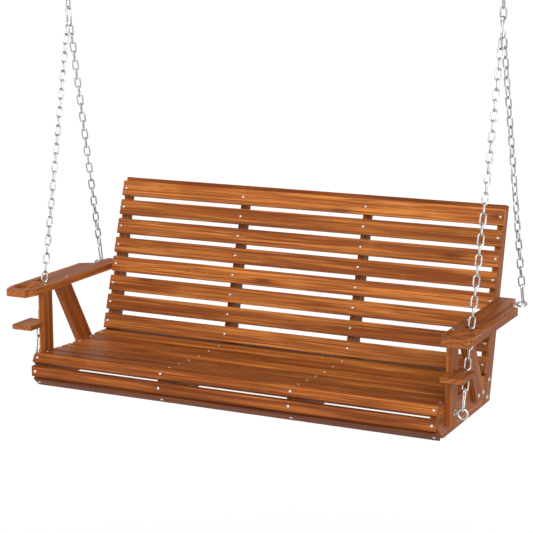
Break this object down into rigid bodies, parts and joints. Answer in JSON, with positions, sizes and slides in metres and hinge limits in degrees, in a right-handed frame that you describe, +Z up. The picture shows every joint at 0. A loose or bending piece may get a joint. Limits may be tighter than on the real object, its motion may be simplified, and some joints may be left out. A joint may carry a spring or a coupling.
{
  "type": "porch swing",
  "caption": "Slatted wooden swing bench with flat arms, cup holes and cup shelves, hung on steel chains with snap hooks from two ceiling screw hooks.",
  "frame": {"origin": "midway between the two ceiling screw hooks, on the ceiling's surface", "axes": "+X to the right of someone facing the seat, +Y from the seat's front to its back, +Z up"},
  "size_m": [1.45, 0.5989, 1.309],
  "materials": {
    "slat_wood": "oiled satin",
    "rib_wood": "oiled satin",
    "arm_wood": "oiled satin",
    "screw_zinc": "bright zinc plated",
    "chain_zinc": "zinc plated"
  },
  "bodies": {
    "ceiling": {"ceiling_hooks": "chain_zinc"},
    "swing": {"back_slat_1": "slat_wood", "back_slat_2": "slat_wood", "back_slat_3": "slat_wood", "back_slat_4": "slat_wood", "back_slat_5": "slat_wood", "back_slat_6": "slat_wood", "back_slat_7": "slat_wood", "back_slat_8": "slat_wood", "top_rail": "rib_wood", "seat_slat_1": "slat_wood", "seat_slat_2": "slat_wood", "seat_slat_3": "slat_wood", "seat_slat_4": "slat_wood", "seat_slat_5": "slat_wood", "seat_slat_6": "slat_wood", "seat_strip": "slat_wood", "nose_slat_upper": "slat_wood", "nose_slat_middle": "slat_wood", "nose_slat_lower": "slat_wood", "back_rib_1": "rib_wood", "back_rib_2": "rib_wood", "back_rib_3": "rib_wood", "back_rib_4": "rib_wood", "seat_rib_1": "rib_wood", "seat_rib_2": "rib_wood", "seat_rib_3": "rib_wood", "seat_rib_4": "rib_wood", "arm_left": "arm_wood", "arm_right": "arm_wood", "arm_post_left": "arm_wood", "arm_post_right": "arm_wood", "arm_brace_left": "arm_wood", "arm_brace_right": "arm_wood", "cup_shelf_left": "arm_wood", "cup_shelf_right": "arm_wood", "back_screws": "screw_zinc", "seat_screws": "screw_zinc", "nose_screws": "screw_zinc", "arm_screws": "screw_zinc", "frame_bolts": "screw_zinc", "frame_nuts": "screw_zinc", "eye_bolts": "chain_zinc", "eye_nuts": "chain_zinc", "upper_chains": "chain_zinc", "front_chains": "chain_zinc", "rear_chains": "chain_zinc", "snap_hooks": "chain_zinc", "gate_rivets": "chain_zinc"},
    "gate_top_front_left": {"gate_top_front_left": "chain_zinc"},
    "gate_top_rear_left": {"gate_top_rear_left": "chain_zinc"},
    "gate_low_front_left": {"gate_low_front_left": "chain_zinc"},
    "gate_low_rear_left": {"gate_low_rear_left": "chain_zinc"},
    "gate_top_front_right": {"gate_top_front_right": "chain_zinc"},
    "gate_top_rear_right": {"gate_top_rear_right": "chain_zinc"},
    "gate_low_front_right": {"gate_low_front_right": "chain_zinc"},
    "gate_low_rear_right": {"gate_low_rear_right": "chain_zinc"}
  },
  "joints": [
    {"name": "swing_to_and_fro", "type": "hinge", "parent": "ceiling", "child": "swing", "pos_m": [0, 0, -0.0383], "axis": [1, 0, 0], "range_deg": [-35, 35]},
    {"name": "open_top_front_left", "type": "hinge", "parent": "swing", "child": "gate_top_front_left", "pos_m": [-0.68414, -0.01725, -0.18731], "axis": [-0.9453, 0.3173, -0.0755], "range_deg": [0, 13], "stiffness_Nm_per_rad": 0.05, "springref_deg": -6.88},
    {"name": "open_top_rear_left", "type": "hinge", "parent": "swing", "child": "gate_top_rear_left", "pos_m": [-0.68674, 0.01792, -0.1871], "axis": [0.9444, -0.3142, -0.0974], "range_deg": [0, 13], "stiffness_Nm_per_rad": 0.05, "springref_deg": -6.88},
    {"name": "open_low_front_left", "type": "hinge", "parent": "swing", "child": "gate_low_front_left", "pos_m": [-0.67706, -0.23479, -1.16338], "axis": [-1, -0.0006, -0.005], "range_deg": [0, 13], "stiffness_Nm_per_rad": 0.05, "springref_deg": -6.88},
    {"name": "open_low_rear_left", "type": "hinge", "parent": "swing", "child": "gate_low_rear_left", "pos_m": [-0.70721, 0.20075, -0.95482], "axis": [0.9997, 0.0027, -0.0234], "range_deg": [0, 13], "stiffness_Nm_per_rad": 0.05, "springref_deg": -6.88},
    {"name": "open_top_front_right", "type": "hinge", "parent": "swing", "child": "gate_top_front_right", "pos_m": [0.68623, -0.01661, -0.18722], "axis": [-0.985, 0.1706, -0.0278], "range_deg": [0, 13], "stiffness_Nm_per_rad": 0.05, "springref_deg": -6.88},
    {"name": "open_top_rear_right", "type": "hinge", "parent": "swing", "child": "gate_top_rear_right", "pos_m": [0.68471, 0.01728, -0.18693], "axis": [0.985, -0.1724, -0.011], "range_deg": [0, 13], "stiffness_Nm_per_rad": 0.05, "springref_deg": -6.88},
    {"name": "open_low_front_right", "type": "hinge", "parent": "swing", "child": "gate_low_front_right", "pos_m": [0.67712, -0.23478, -1.16338], "axis": [-0.9999, 0.0011, 0.0102], "range_deg": [0, 13], "stiffness_Nm_per_rad": 0.05, "springref_deg": -6.88},
    {"name": "open_low_rear_right", "type": "hinge", "parent": "swing", "child": "gate_low_rear_right", "pos_m": [0.70713, 0.20073, -0.95482], "axis": [0.9996, -0.0035, 0.0298], "range_deg": [0, 13], "stiffness_Nm_per_rad": 0.05, "springref_deg": -6.88}
  ]
}
